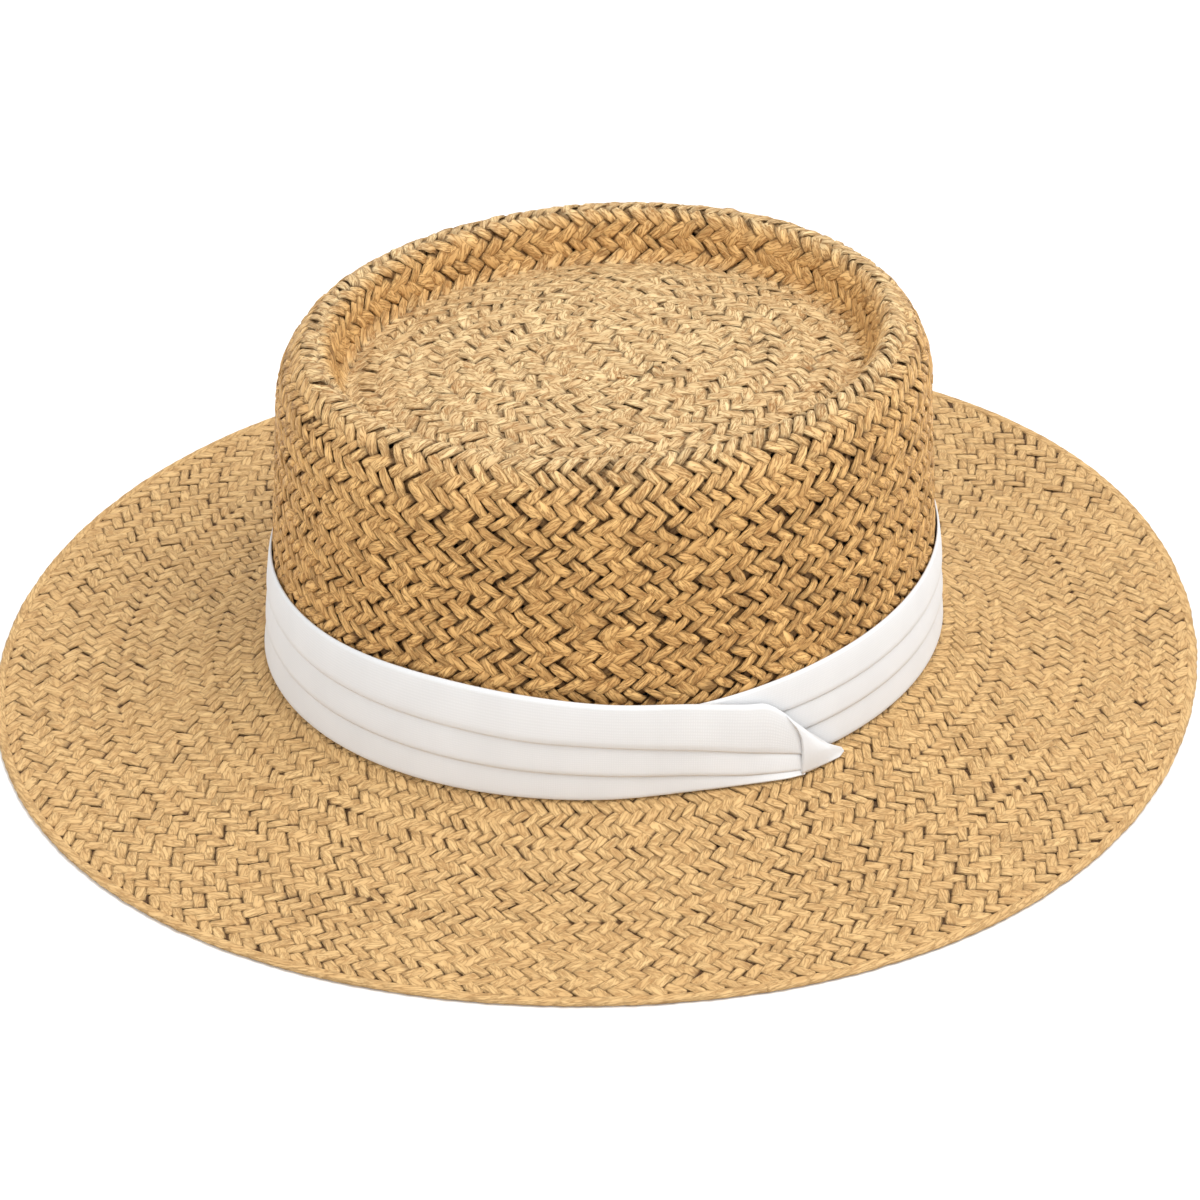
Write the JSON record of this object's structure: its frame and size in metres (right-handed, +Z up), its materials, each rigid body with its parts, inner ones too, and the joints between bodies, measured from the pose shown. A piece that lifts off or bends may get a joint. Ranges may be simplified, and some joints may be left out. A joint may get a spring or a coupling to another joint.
{
  "type": "sun hat",
  "caption": "Woven straw sun hat with a dented telescope crown, a wide shallow brim and a pleated cloth band tied at the side.",
  "frame": {"origin": "on the surface the brim rests on, under the middle of the hat", "axes": "+Z up, -Y to the front of the hat, +X to the wearer's left, where the band's knot is"},
  "size_m": [0.3352, 0.3664, 0.1147],
  "materials": {
    "crown_straw": "matt twisted paper straw, woven",
    "brim_straw": "matt twisted paper straw, woven and pressed",
    "band_cloth": "matt plain-woven white cotton"
  },
  "bodies": {
    "root": {"crown_side": "crown_straw", "crown_crest": "crown_straw", "crown_tip": "crown_straw", "brim": "brim_straw", "hat_band": "band_cloth", "band_knot": "band_cloth"}
  },
  "joints": []
}
